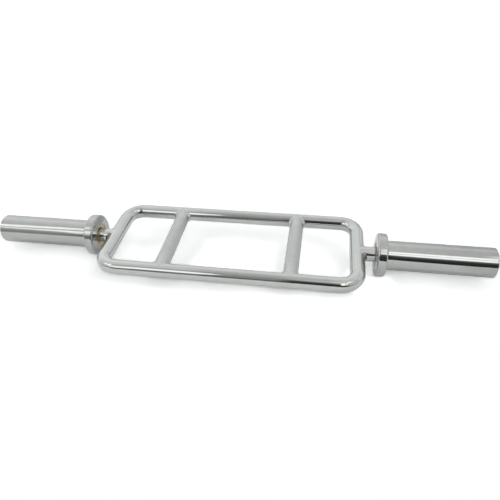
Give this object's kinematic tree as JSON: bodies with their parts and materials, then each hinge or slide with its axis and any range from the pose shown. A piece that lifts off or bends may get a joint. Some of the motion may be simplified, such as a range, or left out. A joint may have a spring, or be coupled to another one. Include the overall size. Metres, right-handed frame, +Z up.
{
  "type": "triceps bar",
  "caption": "Short triceps bar: a rounded rectangular rod frame with cross grips, and a free-spinning plate sleeve with a stop collar at each end.",
  "frame": {"origin": "on the floor under the middle of the bar, so the centre of the bounding box's bottom", "axes": "+X along the bar towards its right sleeve, +Z up; +Y points from the low front rail to the raised back rail"},
  "size_m": [0.864, 0.1768, 0.0728],
  "materials": {
    "chrome": "polished",
    "grip_chrome": "fine knurl, satin",
    "spindle_chrome": "polished",
    "zinc_steel": "zinc plated",
    "bronze": "oiled sintered bronze"
  },
  "bodies": {
    "frame": {"frame_loop": "chrome", "left_grip": "grip_chrome", "left_grip_front_weld": "chrome", "left_grip_back_weld": "chrome", "right_grip": "grip_chrome", "right_grip_front_weld": "chrome", "right_grip_back_weld": "chrome", "left_spindle": "spindle_chrome", "left_spindle_weld": "chrome", "left_thrust_washer": "zinc_steel", "left_end_washer": "zinc_steel", "left_lock_washer": "zinc_steel", "left_end_bolt": "zinc_steel", "right_spindle": "spindle_chrome", "right_spindle_weld": "chrome", "right_thrust_washer": "zinc_steel", "right_end_washer": "zinc_steel", "right_lock_washer": "zinc_steel", "right_end_bolt": "zinc_steel"},
    "left_plate_sleeve": {"left_collar": "chrome", "left_sleeve": "chrome", "left_inner_bushing": "bronze", "left_outer_bushing": "bronze"},
    "right_plate_sleeve": {"right_collar": "chrome", "right_sleeve": "chrome", "right_inner_bushing": "bronze", "right_outer_bushing": "bronze"}
  },
  "joints": [
    {"name": "left_sleeve_spin", "type": "hinge", "parent": "frame", "child": "left_plate_sleeve", "pos_m": [-0.34, 0, 0.0364], "axis": [-1, 0, 0], "continuous": true},
    {"name": "right_sleeve_spin", "type": "hinge", "parent": "frame", "child": "right_plate_sleeve", "pos_m": [0.34, 0, 0.0364], "axis": [1, 0, 0], "continuous": true}
  ]
}
